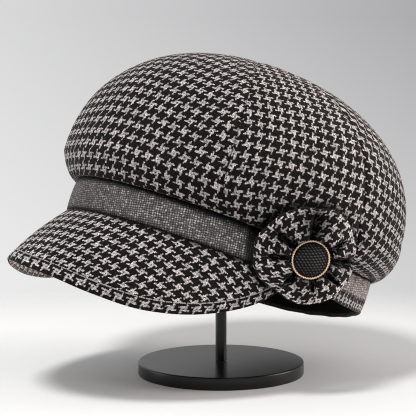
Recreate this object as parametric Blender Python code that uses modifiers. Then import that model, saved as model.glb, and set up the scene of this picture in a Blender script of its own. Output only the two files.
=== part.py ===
# Newsboy cap in houndstooth wool, on a round display stand.
# Metres, +Z up. The cap's front looks towards -Y and its wearer's left towards +X.
# The origin is the middle of the stand's underside.
# Angles around the cap start at its front and grow towards the wearer's left.

import math

import bmesh
import bpy
from mathutils import Matrix, Vector

# Stand
BASE_RADIUS = 0.052
BASE_THICKNESS = 0.008
BASE_EDGE_BEVEL = 0.0008
POST_RADIUS = 0.0035
HEAD_THICKNESS = 0.006

# Small distance between touching pieces
GAP = 0.0003

# The band's lower edge is an ellipse, tipped back so that the front is high
BAND_TILT = math.radians(25.0)
BAND_CENTRE = Vector((0.0, -0.006, 0.0695))
BAND_HALF_LENGTH = 0.1025
BAND_HALF_WIDTH = 0.0875
BAND_HEIGHT = 0.0207
BAND_WALL = 0.0025
BAND_BULGE = 0.0006
BAND_JOIN_ANGLE = 86.0
BAND_JOIN_GAP = 0.0008
BACK_GATHERS = 24
BACK_GATHER_DEPTH = 0.0012

# Black sweatband inside the band
SWEATBAND_WALL = 0.0012
SWEATBAND_START = 0.0015
SWEATBAND_END = 0.0335

# Crown: a bubble tipped back a little less than the band
CROWN_TILT = math.radians(20.5)
CROWN_CENTRE = Vector((0.0, -0.0175, 0.0693))
CROWN_RADIUS = 0.1085
CROWN_FRONT_SHORTER = 0.0105
CROWN_WIDEST_HEIGHT = 0.0475
CROWN_HEIGHT = 0.1325
CROWN_TOP_POWER = 2.16
CROWN_FOLD_POWER = 1.9
CROWN_WALL = 0.002
FOLD_OVERHANG = 0.0013
FOLD_OVERHANG_FRONT = 0.0007
FOLD_TUCK = 0.0015
SEAM_GAP = 0.0005
PANEL_PUFF = 0.0008
PANEL_COLUMN_ANGLE = 6.6
FOLD_ROWS = 6
TOP_ROWS = 10

# The crown is pressed in under the rosette
DENT_DEPTH = 0.005
DENT_ANGLE = 78.0
DENT_WIDTH = 20.0

# Crown panels: name, first seam and last seam, in degrees around the cap
CROWN_PANELS = (
    ("crown_panel_front", -51.4, 51.4),
    ("crown_panel_left_front", 51.4, 102.9),
    ("crown_panel_left_back", 102.9, 154.3),
    ("crown_panel_back", 154.3, 205.7),
    ("crown_panel_right_back", 205.7, 257.1),
    ("crown_panel_right_front", 257.1, 308.6),
)

# Peak: place on the band (degrees), then the edge's x, y, z on the wearer's left and z on the right
PEAK_EDGE = (
    (0.0, 0.0000, -0.1505, 0.0862, 0.0862),
    (14.0, 0.0220, -0.1452, 0.0819, 0.0860),
    (28.0, 0.0425, -0.1298, 0.0721, 0.0768),
    (42.0, 0.0600, -0.1062, 0.0620, 0.0662),
    (56.0, 0.0748, -0.0762, 0.0576, 0.0592),
    (70.0, 0.0840, -0.0436, 0.0601, 0.0604),
    (84.0, 0.0885, -0.0170, 0.0700, 0.0700),
)
PEAK_ARCH = 0.0024
PEAK_THICKNESS = 0.0025
PEAK_COLUMNS = 36
PEAK_ROWS = 6

# Rosette of gathered cloth, sewn over the band's left join
ROSETTE_CENTRE = Vector((0.1018, -0.0120, 0.0876))
ROSETTE_AZIMUTH = math.radians(65.0)
ROSETTE_RISE = math.radians(-2.0)
ROSETTE_RADIUS = 0.0315
ROSETTE_WIDER = 1.035
ROSETTE_LONGER = 0.0040
ROSETTE_LONGER_TOWARDS = math.radians(145.0)
ROSETTE_PUCKERS = 8
ROSETTE_LOBES = 0.03
ROSETTE_PUCKER_DEPTH = 0.0024
ROSETTE_WALL = 0.0025
ROSETTE_FLAT = 0.0125
ROSETTE_PUFF = 0.0015
ROSETTE_BEND_START = 0.013
ROSETTE_BEND_SOFTNESS = 0.003
ROSETTE_TOP_SLOPE = 0.52
ROSETTE_BACK_SLOPE = 0.42

# Covered button with a thin metal rim
BUTTON_RADIUS = 0.0104
BUTTON_DOME = 0.0030
BUTTON_THICKNESS = 0.0020
BUTTON_LIFT = 0.0016
RIM_RADIUS = 0.0113
RIM_WIRE = 0.0007


def clear_scene():
    for thing in list(bpy.data.objects):
        bpy.data.objects.remove(thing, do_unlink=True)


def new_collection(name):
    collection = bpy.data.collections.new(name)
    bpy.context.scene.collection.children.link(collection)
    return collection


def material(name, colour, roughness, metallic=0.0):
    made = bpy.data.materials.new(name)
    made.use_nodes = True
    shader = made.node_tree.nodes["Principled BSDF"]
    shader.inputs["Base Color"].default_value = (*colour, 1.0)
    shader.inputs["Roughness"].default_value = roughness
    shader.inputs["Metallic"].default_value = metallic
    return made


def mesh_object(name, mesh, finish, collection):
    made = bpy.data.objects.new(name, mesh)
    mesh.materials.append(finish)
    collection.objects.link(made)
    return made


def grid_mesh(name, rows, closed_around=False, tip=None):
    """Sheet through rows of points; it may close around and may end in one tip point."""
    shape = bmesh.new()
    lines = [[shape.verts.new(point) for point in row] for row in rows]
    count = len(lines[0])
    steps = count if closed_around else count - 1
    for low, high in zip(lines, lines[1:]):
        for i in range(steps):
            j = (i + 1) % count
            shape.faces.new((low[i], low[j], high[j], high[i]))
    if tip is not None:
        end = shape.verts.new(tip)
        for i in range(steps):
            shape.faces.new((lines[-1][i], lines[-1][(i + 1) % count], end))
    mesh = bpy.data.meshes.new(name)
    shape.to_mesh(mesh)
    shape.free()
    mesh.shade_smooth()
    return mesh


def add_wall(thing, thickness):
    """Give an open sheet its thickness behind its front side."""
    solidify = thing.modifiers.new("wall", "SOLIDIFY")
    solidify.thickness = thickness
    solidify.offset = -1.0
    solidify.use_even_offset = True


def tipped(point, tilt, centre):
    """Turn a point of a tipped-back frame to the world."""
    return centre + Matrix.Rotation(-tilt, 3, "X") @ Vector(point)


def band_radius(angle):
    """Distance from the band's axis to its outer face."""
    across = math.sin(angle) / BAND_HALF_WIDTH
    along = math.cos(angle) / BAND_HALF_LENGTH
    return 1.0 / math.hypot(across, along)


def band_point(angle, outward, height):
    radius = band_radius(angle) + outward
    local = (radius * math.sin(angle), -radius * math.cos(angle), height)
    return tipped(local, BAND_TILT, BAND_CENTRE)


def fold_point(angle):
    """Lowest line of the crown, just proud of the band's top edge."""
    outward = FOLD_OVERHANG + FOLD_OVERHANG_FRONT * math.cos(angle)
    return band_point(angle, outward, BAND_HEIGHT + GAP)


def widest_radius(angle):
    return CROWN_RADIUS - CROWN_FRONT_SHORTER * math.cos(angle)


def dent(angle):
    """Depth of the hollow that the rosette presses into the crown."""
    away = (math.degrees(angle) - DENT_ANGLE) / DENT_WIDTH
    return DENT_DEPTH * math.exp(-away * away)


def crown_top_point(angle, rise, puff=0.0):
    """Point above the widest line; rise goes from 0 there to 1 at the apex."""
    turn = rise * math.pi / 2
    inward = math.cos(turn) ** (2 / CROWN_TOP_POWER)
    upward = math.sin(turn) ** (2 / CROWN_TOP_POWER)
    press = dent(angle) * (1 - rise) ** 4
    radius = (widest_radius(angle) - press) * inward + puff * math.cos(turn)
    height = CROWN_WIDEST_HEIGHT + (CROWN_HEIGHT - CROWN_WIDEST_HEIGHT) * upward
    height += puff * math.sin(turn) * inward
    local = (radius * math.sin(angle), -radius * math.cos(angle), height)
    return tipped(local, CROWN_TILT, CROWN_CENTRE)


def crown_fold_point(angle, rise, puff=0.0):
    """Point of the rounded underside; rise goes from 0 at the fold to 1 at the widest line."""
    low = fold_point(angle)
    wide = crown_top_point(angle, 0.0, puff)
    turn = (1 - rise) * math.pi / 2
    outward = max(math.cos(turn), 0.0) ** (2 / CROWN_FOLD_POWER)
    drop = math.sin(turn) ** (2 / CROWN_FOLD_POWER)
    x = low.x + (wide.x - low.x) * outward
    y = low.y + (wide.y - low.y) * outward
    z = wide.z - (wide.z - low.z) * drop
    return Vector((x, y, z))


def crown_panel_mesh(name, first, last):
    columns = round((last - first) / PANEL_COLUMN_ANGLE)
    middle = math.radians((first + last) / 2)
    half = math.radians((last - first) / 2)

    def row(point_at, radius):
        inset = math.asin(min(0.9, SEAM_GAP / 2 / radius))
        points = []
        for i in range(columns + 1):
            side = 2 * i / columns - 1
            angle = middle + side * (half - inset)
            points.append(point_at(angle, PANEL_PUFF * (1 - side * side)))
        return points

    wide = CROWN_RADIUS - CROWN_FRONT_SHORTER
    rows = [row(lambda a, p: band_point(a, -FOLD_TUCK, BAND_HEIGHT + GAP), BAND_HALF_WIDTH)]
    for i in range(FOLD_ROWS):
        rise = i / FOLD_ROWS
        rows.append(row(lambda a, p, r=rise: crown_fold_point(a, r, p), BAND_HALF_WIDTH))
    for i in range(TOP_ROWS):
        rise = i / TOP_ROWS
        radius = wide * math.cos(rise * math.pi / 2)
        rows.append(row(lambda a, p, r=rise: crown_top_point(a, r, p), radius))
    tip_radius = SEAM_GAP / 2 / math.sin(min(half, math.pi / 2))
    local = (tip_radius * math.sin(middle), -tip_radius * math.cos(middle), CROWN_HEIGHT)
    return grid_mesh(name, rows, tip=tipped(local, CROWN_TILT, CROWN_CENTRE))


def build_crown(collection):
    wool = material("houndstooth_wool", (0.16, 0.15, 0.15), 0.9)
    for name, first, last in CROWN_PANELS:
        panel = mesh_object(name, crown_panel_mesh(name, first, last), wool, collection)
        add_wall(panel, CROWN_WALL)


def band_rows(angles, outward_at, heights):
    rows = []
    for height in heights:
        share = height / BAND_HEIGHT
        bulge = BAND_BULGE * 4 * share * (1 - share)
        rows.append([band_point(a, outward_at(a) + bulge, height) for a in angles])
    return rows


def build_bands(collection):
    tweed = material("grey_tweed", (0.10, 0.097, 0.095), 0.9)
    wool = material("gathered_houndstooth", (0.16, 0.15, 0.15), 0.9)
    heights = [BAND_HEIGHT * share for share in (0.0, 0.33, 0.67, 1.0)]
    inset = BAND_JOIN_GAP / 2 / BAND_HALF_WIDTH

    join = math.radians(BAND_JOIN_ANGLE) - inset
    steps = 36
    angles = [join * (2 * i / steps - 1) for i in range(steps + 1)]
    front = grid_mesh("front_band", band_rows(angles, lambda a: 0.0, heights))
    add_wall(mesh_object("front_band", front, tweed, collection), BAND_WALL)

    start = math.radians(BAND_JOIN_ANGLE) + inset
    end = 2 * math.pi - start
    steps = 4 * BACK_GATHERS

    def gathered(angle):
        turn = (angle - start) / (end - start) * BACK_GATHERS
        return -BACK_GATHER_DEPTH * (0.5 - 0.5 * math.cos(2 * math.pi * turn))

    angles = [start + (end - start) * i / steps for i in range(steps + 1)]
    back = grid_mesh("back_band", band_rows(angles, gathered, (0.0, BAND_HEIGHT)))
    add_wall(mesh_object("back_band", back, wool, collection), BAND_WALL - BACK_GATHER_DEPTH)


def build_sweatband(collection):
    satin = material("black_lining", (0.012, 0.012, 0.013), 0.6)
    steps = 56
    angles = [2 * math.pi * i / steps for i in range(steps)]
    inward = -(BAND_WALL + GAP)
    rows = []
    for height in (SWEATBAND_START, (SWEATBAND_START + SWEATBAND_END) / 2, SWEATBAND_END):
        rows.append([band_point(a, inward, height) for a in angles])
    ring = grid_mesh("sweatband", rows, closed_around=True)
    add_wall(mesh_object("sweatband", ring, satin, collection), SWEATBAND_WALL)


def smooth_between(table, column, angle):
    """Value of a table's column at an angle, on a smooth curve, mirrored past the front."""
    rows = [(-row[0], row[1], row[2], row[4]) for row in table[:0:-1]] + list(table)
    sign = -1.0 if column == 1 else 1.0
    values = [row[column] * (sign if row[0] < 0 else 1.0) for row in rows]
    places = [row[0] for row in rows]
    last = len(rows) - 2
    i = min(last, max(0, sum(1 for place in places if place <= angle) - 1))
    before, after = max(i - 1, 0), min(i + 2, last + 1)
    width = places[i + 1] - places[i]
    share = (angle - places[i]) / width
    slope_in = (values[i + 1] - values[before]) / (places[i + 1] - places[before]) * width
    slope_out = (values[after] - values[i]) / (places[after] - places[i]) * width
    cube, square = share ** 3, share ** 2
    return ((2 * cube - 3 * square + 1) * values[i] + (cube - 2 * square + share) * slope_in
            + (3 * square - 2 * cube) * values[i + 1] + (cube - square) * slope_out)


def peak_point(angle, share):
    """Point of the peak's upper face; share goes from 0 at the band to 1 at the edge."""
    root = band_point(math.radians(angle), -GAP, -GAP)
    edge = Vector([smooth_between(PEAK_EDGE, column, angle) for column in (1, 2, 3)])
    reach = edge - root
    outward = Vector((math.sin(math.radians(angle)), -math.cos(math.radians(angle)), 0.0))
    upward = outward - reach * (outward.dot(reach) / reach.length_squared)
    if upward.z < 0 and reach.z > -0.0001:
        upward = -upward
    full = (Vector(PEAK_EDGE[0][1:4]) - band_point(0.0, -GAP, -GAP)).length
    arch = PEAK_ARCH * 4 * share * (1 - share) * reach.length / full
    return root + reach * share + upward.normalized() * arch


def build_peak(collection):
    wool = material("peak_houndstooth", (0.16, 0.15, 0.15), 0.9)
    limit = PEAK_EDGE[-1][0]
    angles = [limit * (2 * i / PEAK_COLUMNS - 1) for i in range(PEAK_COLUMNS + 1)]
    rows = [[peak_point(a, i / PEAK_ROWS) for a in reversed(angles)] for i in range(PEAK_ROWS + 1)]
    peak = mesh_object("peak", grid_mesh("peak", rows), wool, collection)
    add_wall(peak, PEAK_THICKNESS)


def rosette_frame():
    """Matrix whose Z looks out of the rosette, X to its right and Y up."""
    level = math.cos(ROSETTE_RISE)
    outward = Vector((math.sin(ROSETTE_AZIMUTH) * level, -math.cos(ROSETTE_AZIMUTH) * level,
                      math.sin(ROSETTE_RISE)))
    right = Vector((math.cos(ROSETTE_AZIMUTH), math.sin(ROSETTE_AZIMUTH), 0.0))
    up = outward.cross(right)
    turn = Matrix((right, up, outward)).transposed()
    return Matrix.Translation(ROSETTE_CENTRE) @ turn.to_4x4()


def rosette_radius(turn):
    lobes = 1 - ROSETTE_LOBES * math.cos(ROSETTE_PUCKERS * turn)
    return (ROSETTE_RADIUS + ROSETTE_LONGER * math.cos(turn - ROSETTE_LONGER_TOWARDS)) * lobes


def rosette_point(turn, share):
    """Front face: flat middle, gathered ring, its top over the crown, its back edge laid in."""
    ring = rosette_radius(turn) - ROSETTE_FLAT
    radius = ROSETTE_FLAT + ring * share
    ridge = 0.5 - 0.5 * math.cos(ROSETTE_PUCKERS * turn)
    puff = (ROSETTE_PUFF + ROSETTE_PUCKER_DEPTH * ridge) * math.sin(math.pi * share) ** 0.7
    x, y = radius * math.cos(turn) * ROSETTE_WIDER, radius * math.sin(turn)
    top = math.log1p(math.exp((y - ROSETTE_BEND_START) / ROSETTE_BEND_SOFTNESS))
    back = math.log1p(math.exp((x - ROSETTE_BEND_START) / ROSETTE_BEND_SOFTNESS))
    bend = ROSETTE_TOP_SLOPE * top - ROSETTE_BACK_SLOPE * back
    return Vector((x, y, puff + ROSETTE_BEND_SOFTNESS * bend))


def build_rosette(collection):
    wool = material("rosette_houndstooth", (0.14, 0.13, 0.13), 0.9)
    place = rosette_frame()
    around = 8 * ROSETTE_PUCKERS
    turns = [2 * math.pi * i / around for i in range(around)]
    rows = []
    for share in (1.0, 0.9, 0.7, 0.45, 0.2, 0.0):
        rows.append([place @ rosette_point(turn, share) for turn in turns])
    tip = place @ Vector((0.0, 0.0, 0.0))
    sheet = grid_mesh("rosette", rows, closed_around=True, tip=tip)
    add_wall(mesh_object("rosette", sheet, wool, collection), ROSETTE_WALL)


def turned(name, profile, steps, place, finish, collection):
    """Body turned from a profile of radius and height, top to bottom."""
    mesh = bpy.data.meshes.new(name)
    shape = bmesh.new()
    points = [shape.verts.new((radius, 0.0, height)) for radius, height in profile]
    for a, b in zip(points, points[1:]):
        shape.edges.new((a, b))
    shape.to_mesh(mesh)
    shape.free()
    made = mesh_object(name, mesh, finish, collection)
    made.matrix_world = place
    screw = made.modifiers.new("turn", "SCREW")
    screw.steps = steps
    screw.render_steps = steps
    screw.use_merge_vertices = True
    screw.merge_threshold = 0.00001
    screw.use_smooth_shade = True
    return made


def build_button(collection):
    cover = material("black_button_cover", (0.012, 0.012, 0.012), 0.6)
    gold = material("gold_rim", (0.58, 0.32, 0.13), 0.3, 1.0)
    seat = Matrix.Translation((0.0, 0.0, BUTTON_LIFT))
    place = rosette_frame() @ seat
    profile = [(0.0, BUTTON_THICKNESS + BUTTON_DOME)]
    for i in range(1, 6):
        share = i / 5
        profile.append((BUTTON_RADIUS * share, BUTTON_THICKNESS + BUTTON_DOME * (1 - share ** 2)))
    profile += [(BUTTON_RADIUS, 0.0), (0.0, 0.0)]
    turned("button", profile, 32, place, cover, collection)

    ring = bpy.ops.mesh.primitive_torus_add
    ring(major_radius=RIM_RADIUS, minor_radius=RIM_WIRE, major_segments=40, minor_segments=8)
    rim = bpy.context.object
    rim.name = "button_rim"
    rim.data.materials.append(gold)
    rim.matrix_world = place @ Matrix.Translation((0.0, 0.0, BUTTON_THICKNESS / 2))
    for owner in list(rim.users_collection):
        owner.objects.unlink(rim)
    collection.objects.link(rim)


def cylinder(name, radius, low, high, sides, finish, collection):
    shape = bmesh.new()
    bmesh.ops.create_cone(shape, cap_ends=True, segments=sides, radius1=radius, radius2=radius,
                          depth=high - low, matrix=Matrix.Translation((0, 0, (low + high) / 2)))
    mesh = bpy.data.meshes.new(name)
    shape.to_mesh(mesh)
    shape.free()
    return mesh_object(name, mesh, finish, collection)


def crown_height_over_post():
    """Height of the crown's outer face straight above the stand's post."""
    low, high = 0.0, 1.0
    for _ in range(30):
        middle = (low + high) / 2
        if crown_top_point(0.0, middle).y < 0:
            low = middle
        else:
            high = middle
    return crown_top_point(0.0, low).z


def head_mesh():
    """Domed pad that lies just under the crown's top."""
    depth = CROWN_WALL + 2 * GAP
    start, rings, around = 0.62, 5, 28
    step = 0.001
    rows = []
    for i in range(rings):
        rise = start + (1 - start) * i / rings
        row = []
        for j in range(around):
            angle = 2 * math.pi * j / around
            point = crown_top_point(angle, rise)
            along = crown_top_point(angle, rise + step) - point
            across = crown_top_point(angle + step, rise) - point
            row.append(point - across.cross(along).normalized() * depth)
        rows.append(row)
    tip = tipped((0.0, 0.0, CROWN_HEIGHT - depth), CROWN_TILT, CROWN_CENTRE)
    return grid_mesh("stand_head", rows, closed_around=True, tip=tip)


def build_stand(collection, cutters):
    black = material("black_painted_steel", (0.02, 0.02, 0.02), 0.45)
    base = cylinder("stand_base", BASE_RADIUS, 0.0, BASE_THICKNESS, 64, black, collection)
    bevel = base.modifiers.new("edge", "BEVEL")
    bevel.width = BASE_EDGE_BEVEL
    bevel.segments = 2
    bevel.limit_method = "ANGLE"

    head = mesh_object("head_form", head_mesh(), black, cutters)
    add_wall(head, HEAD_THICKNESS)
    head.hide_render = True
    head.display_type = "WIRE"
    post_top = crown_height_over_post() - CROWN_WALL - 2 * GAP - HEAD_THICKNESS / 2
    post = cylinder("stand_post", POST_RADIUS, BASE_THICKNESS + GAP, post_top, 24, black, collection)
    join = post.modifiers.new("head", "BOOLEAN")
    join.operation = "UNION"
    join.object = head


def main():
    clear_scene()
    parts = new_collection("newsboy_cap_on_stand")
    cutters = new_collection("guides")
    build_crown(parts)
    build_bands(parts)
    build_sweatband(parts)
    build_peak(parts)
    build_rosette(parts)
    build_button(parts)
    build_stand(parts, cutters)


main()
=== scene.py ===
# Looks of a newsboy cap in houndstooth wool on a round display stand.
# Same frame as the CAD: metres, +Z up, front towards -Y, the wearer's left towards +X.
# Angles round the cap start at its front and grow towards the wearer's left.

import math
from functools import partial

import bmesh
import bpy
from mathutils import Matrix, Vector, noise


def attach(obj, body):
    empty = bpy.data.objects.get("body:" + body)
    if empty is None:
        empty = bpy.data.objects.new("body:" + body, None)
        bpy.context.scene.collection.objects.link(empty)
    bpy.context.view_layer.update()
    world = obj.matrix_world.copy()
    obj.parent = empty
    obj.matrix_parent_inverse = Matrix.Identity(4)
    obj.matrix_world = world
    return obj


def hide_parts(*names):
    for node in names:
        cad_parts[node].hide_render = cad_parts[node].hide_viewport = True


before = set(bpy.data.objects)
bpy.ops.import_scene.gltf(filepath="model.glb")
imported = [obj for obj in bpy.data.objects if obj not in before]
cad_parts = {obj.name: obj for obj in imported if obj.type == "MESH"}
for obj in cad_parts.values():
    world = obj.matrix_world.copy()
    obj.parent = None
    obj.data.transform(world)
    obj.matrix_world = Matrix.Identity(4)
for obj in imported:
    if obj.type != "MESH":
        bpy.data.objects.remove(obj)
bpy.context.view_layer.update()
print("frame loaded")


# sRGB hex to the linear colour that the shaders take
def linear(hexColour):
    parts = [int(hexColour[i:i + 2], 16) / 255 for i in (1, 3, 5)]
    return [*(p / 12.92 if p <= 0.04045 else ((p + 0.055) / 1.055) ** 2.4 for p in parts), 1.0]


# Adds one node, by its kind and its mode, as in "Math ADD". Values go to its open inputs in
# order, and None leaves one alone. Hex text is a colour, and a node or a socket is linked.
def addNode(tree, kind, *values, inputs=None, **settings):
    kind, _, mode = kind.partition(" ")
    names = [start + kind for start in ("ShaderNode", "GeometryNode", "FunctionNode", "Node")]
    node = tree.nodes.new(next(name for name in names if hasattr(bpy.types, name)))
    if mode:
        settings["data_type" if kind == "Mix" else "operation"] = mode
    for key, value in settings.items():
        setattr(node, key, value)
    wanted = list(zip([socket for socket in node.inputs if socket.enabled], values))
    wanted += [(node.inputs[key], value) for key, value in (inputs or {}).items()]
    for socket, value in wanted:
        if isinstance(value, bpy.types.Node):
            value = next(output for output in value.outputs if output.enabled)
        if isinstance(value, bpy.types.NodeSocket):
            tree.links.new(value, socket)
        elif value is not None:
            isColour = isinstance(value, str) and value.startswith("#")
            socket.default_value = linear(value) if isColour else value
    return node


# An empty material, and the function that adds its nodes
def newMaterial(name):
    made = bpy.data.materials.new(name)
    made.use_nodes = True
    made.node_tree.nodes.clear()
    return made, partial(addNode, made.node_tree)


# A node group with named sockets, the function that adds its nodes, and what it is given
def newTree(name, kind, inputs, outputs):
    tree = bpy.data.node_groups.new(name, kind)
    for way, sockets in (("OUTPUT", outputs), ("INPUT", inputs)):
        for label, value in sockets.items():
            tree.interface.new_socket(label, in_out=way, socket_type="NodeSocket" + value)
    add = partial(addNode, tree)
    return tree, add, add("GroupInput").outputs


def addObject(name, data):
    made = bpy.data.objects.new(name, data)
    bpy.context.scene.collection.objects.link(made)
    return made


# Mesh with a cloth coordinate in metres for each corner of its faces, and values for its points
def newMesh(name, verts, faces, places, floats):
    mesh = bpy.data.meshes.new(name)
    mesh.from_pydata([tuple(v) for v in verts], [], faces)
    if places:
        layer = mesh.uv_layers.new(name="cloth")
        layer.data.foreach_set("uv", [number for place in places for number in place])
    for key, values in floats.items():
        mesh.attributes.new(key, "FLOAT", "POINT").data.foreach_set("value", values)
    mesh.shade_smooth()
    return mesh


# Mesh from rows of points and their places on the cloth. A "wrap" closes the rows to rings and
# says what the cloth gains there. A tip closes a row with a fan: row, point and cloth place.
def sheetMesh(name, rows, cloth=None, wrap=None, tips=(), **floats):
    count = len(rows[0])
    steps = count if wrap is not None else count - 1
    verts = [point for row in rows for point in row]
    faces, places = [], []
    for j in range(len(rows) - 1):
        for i in range(steps):
            corners = [(j, i), (j, i + 1), (j + 1, i + 1), (j + 1, i)]
            faces.append([a * count + b % count for a, b in corners])
            for a, b in corners if cloth else ():
                u, v = cloth[a][b % count]
                places.append((u + wrap if b == count else u, v))
    for row, tip, place in tips:
        low = row % len(rows) * count
        for i in range(steps):
            k = (i + 1) % count
            faces.append([low + i, low + k, len(verts)])
            if cloth:
                here = cloth[row][i]
                places += [here, cloth[row][k], place] if place else [here] * 3
        verts.append(tip)
    return newMesh(name, verts, faces, places, floats)


# Does some work on a mesh, merges points that are this near and turns its faces outwards
def mendMesh(mesh, work=None, near=0.000001):
    shape = bmesh.new()
    shape.from_mesh(mesh)
    if work:
        work(shape)
    if near:
        bmesh.ops.remove_doubles(shape, verts=shape.verts, dist=near)
    bmesh.ops.recalc_face_normals(shape, faces=shape.faces)
    shape.to_mesh(mesh)
    shape.free()
    return mesh


def closeHoles(shape):
    bmesh.ops.holes_fill(shape, edges=[edge for edge in shape.edges if edge.is_boundary])


# Turns a mesh into a finished piece that stands for its CAD node
def finishPiece(name, mesh, material, node):
    piece = addObject(name, mesh)
    mesh.materials.clear()
    mesh.materials.append(material)
    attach(piece, "root")
    if node:
        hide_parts(node)
    return piece


def smoothStep(low, high, value):
    share = min(1.0, max(0.0, (value - low) / (high - low)))
    return share * share * (3 - 2 * share)


def bell(away, width):
    return math.exp(-(away / width) ** 2)


# Direction at an angle round the cap and an angle above the floor
def direction(angle, rise=0.0):
    return Vector((math.sin(angle) * math.cos(rise), -math.cos(angle) * math.cos(rise),
                   math.sin(rise)))


# Point at an angle, radius and height in the tipped-back frame of the band or the crown
def tippedPoint(piece, angle, radius, height):
    local = direction(angle) * radius + Vector((0.0, 0.0, height))
    return piece["centre"] + Matrix.Rotation(-piece["tilt"], 3, "X") @ local


# Lengths along a line of points, starting at nought
def runningLengths(points):
    lengths = [0.0]
    for low, high in zip(points, points[1:]):
        lengths.append(lengths[-1] + (high - low).length)
    return lengths


# Quarter-round corner of a profile: seven points from a direction in degrees
def cornerPoints(x, z, radius, start):
    turns = [math.radians(start + 15 * k) for k in range(7)]
    return [(x + radius * math.cos(t), z + radius * math.sin(t)) for t in turns]


def spread(low, high, steps):
    return [low + (high - low) * i / steps for i in range(steps + 1)]


def turnsRound(count):
    return [2 * math.pi * i / count for i in range(count)]


# Rings of points for a profile of radius and height
def turnedRows(profile, count):
    turns = turnsRound(count)
    return [[Vector((r * math.cos(t), r * math.sin(t), z)) for t in turns] for r, z in profile]


# Black and light grey yarn in a 2/2 twill, eight threads to one check of 7.3 mm. The light star
# of a check is a block with four arms, in threads from its middle.
weave = {
    "thread": 0.00091,
    "blackYarn": "#181412",
    "lightYarn": "#bab3b1",
    "wanderSize": 0.012,
    "wander": 0.00060,
    "fuzzSize": 0.0008,
    "fuzz": 0.00056,
    "blockWide": 1.78,
    "blockTall": 1.60,
    "pinhole": 0.40,
    "tallStart": 1.20,
    "wideStart": 0.95,
    "tallLean": -0.17,
    "wideLean": 0.09,
    "tallEnd": 3.62,
    "wideEnd": 4.02,
    "armWidth": 0.56,
    "armTaper": 0.02,
    "soft": 0.12,
    "stepped": 0.30,
    "ragged": 0.54,
    "grainLow": 0.55,
    "grainHigh": 1.50,
    "hairSize": 0.0010,
    "patchSize": 0.02,
    "yarnRound": 3.6,
    "hairRange": (0.33, 0.62, 0.60, 1.20),
    "yarnShade": (0.85, 0.38),
    "patchShade": (0.16, 0.92),
    "paintedShadeStrength": 0.93,
    "paintedBounceShare": 0.38,
    "paintedBounceGain": 2.0,
    "relief": 0.6,
}
checkThreads = 8
checkSize = checkThreads * weave["thread"]


# Moves places on the cloth a little, by a soft noise of a real size
def stray(add, cloth, onto, size, amount, detail):
    cloud = add("TexNoise", cloth, 1 / size, detail)
    shift = add("VectorMath SUBTRACT", cloud.outputs["Color"], (0.5, 0.5, 0.5))
    return add("VectorMath MULTIPLY_ADD", shift, (amount, amount, 0.0), onto)


def houndstoothGroup():
    tree, add, given = newTree("houndstoothCheck", "ShaderNodeTree",
                               {"Cloth": "Vector", "Thread": "Float"},
                               {"Light": "Float", "Yarn": "Float", "Grain": "Float"})
    cloth, thread = given["Cloth"], given["Thread"]

    # The threads wander slowly, and their edges are fuzzy
    bent = stray(add, cloth, cloth, weave["wanderSize"], weave["wander"], 1.0)
    rough = stray(add, cloth, bent, weave["fuzzSize"], weave["fuzz"], 2.0)
    threads = add("VectorMath DIVIDE", rough, add("CombineXYZ", thread, thread, 1.0))
    ways = add("SeparateXYZ", threads).outputs[:2]

    # Place inside the check, in threads from its middle. The edge steps from thread to thread.
    cells = [add("Math FLOORED_MODULO", way, checkThreads) for way in ways]
    floors = [add("Math FLOOR", cell) for cell in cells]
    steps = [add("Mix", weave["stepped"], *pair) for pair in zip(cells, floors)]
    offMiddle = (checkThreads - weave["stepped"]) / 2
    x, y = [add("Math SUBTRACT", step, offMiddle) for step in steps]
    xSize, ySize = [add("Math ABSOLUTE", place) for place in (x, y)]
    xSide, ySide = [add("Math SIGN", place) for place in (x, y)]

    # The star's four arms are one arm, turned: fold the place onto the upper arm
    tall = add("Math GREATER_THAN", ySize, xSize)
    sideTall = add("Math MULTIPLY", x, ySide)
    sideWide = add("Math MULTIPLY", add("Math MULTIPLY", y, xSide), -1.0)
    side = add("Mix", tall, sideWide, sideTall)
    out = add("Math MAXIMUM", xSize, ySize)

    # The arm starts on the left of the block and gets thinner; all arms lean one way
    start, lean, end = [add("Mix", tall, weave["wide" + key], weave["tall" + key])
                        for key in ("Start", "Lean", "End")]
    centre = add("Math MULTIPLY_ADD", add("Math SUBTRACT", out, 1.0), lean, start)
    apart = add("Math ABSOLUTE", add("Math ADD", side, centre))
    width = add("Math MULTIPLY_ADD", out, -weave["armTaper"], weave["armWidth"])
    arm = add("Math MINIMUM", add("Math SUBTRACT", width, apart), add("Math SUBTRACT", end, out))
    block = add("Math MINIMUM", add("Math SUBTRACT", weave["blockWide"], xSize),
                add("Math SUBTRACT", weave["blockTall"], ySize))
    pinhole = add("Math SUBTRACT", out, weave["pinhole"])
    star = add("Math MINIMUM", add("Math MAXIMUM", block, arm), pinhole)

    # No two crossings are equally bright, and some yarn strays over the star's edge
    chance = add("TexWhiteNoise", add("VectorMath FLOOR", threads), noise_dimensions="2D")
    chances = add("SeparateXYZ", chance.outputs["Color"])
    loose = add("Math SUBTRACT", chances.outputs[1], 0.5)
    ragged = add("Math MULTIPLY_ADD", loose, weave["ragged"], star)
    light = add("MapRange", ragged, -weave["soft"], weave["soft"])
    grain = add("MapRange", chance, 0.0, 1.0, weave["grainLow"], weave["grainHigh"])

    # Twill: every thread goes over two and under two, one step on in each row
    turn = add("Math FLOORED_MODULO", add("Math ADD", *floors), 4.0)
    warpUp = add("Math LESS_THAN", turn, 2.0)
    warpPart, weftPart = [add("Math FRACT", way) for way in ways]
    middle = add("Math SUBTRACT", add("Mix", warpUp, weftPart, warpPart), 0.5)
    steep = add("Math MULTIPLY", middle, middle)
    yarn = add("Math MULTIPLY_ADD", steep, -weave["yarnRound"], 1.0)
    add("GroupOutput", light, yarn, grain)
    return tree


houndstooth = houndstoothGroup()
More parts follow.
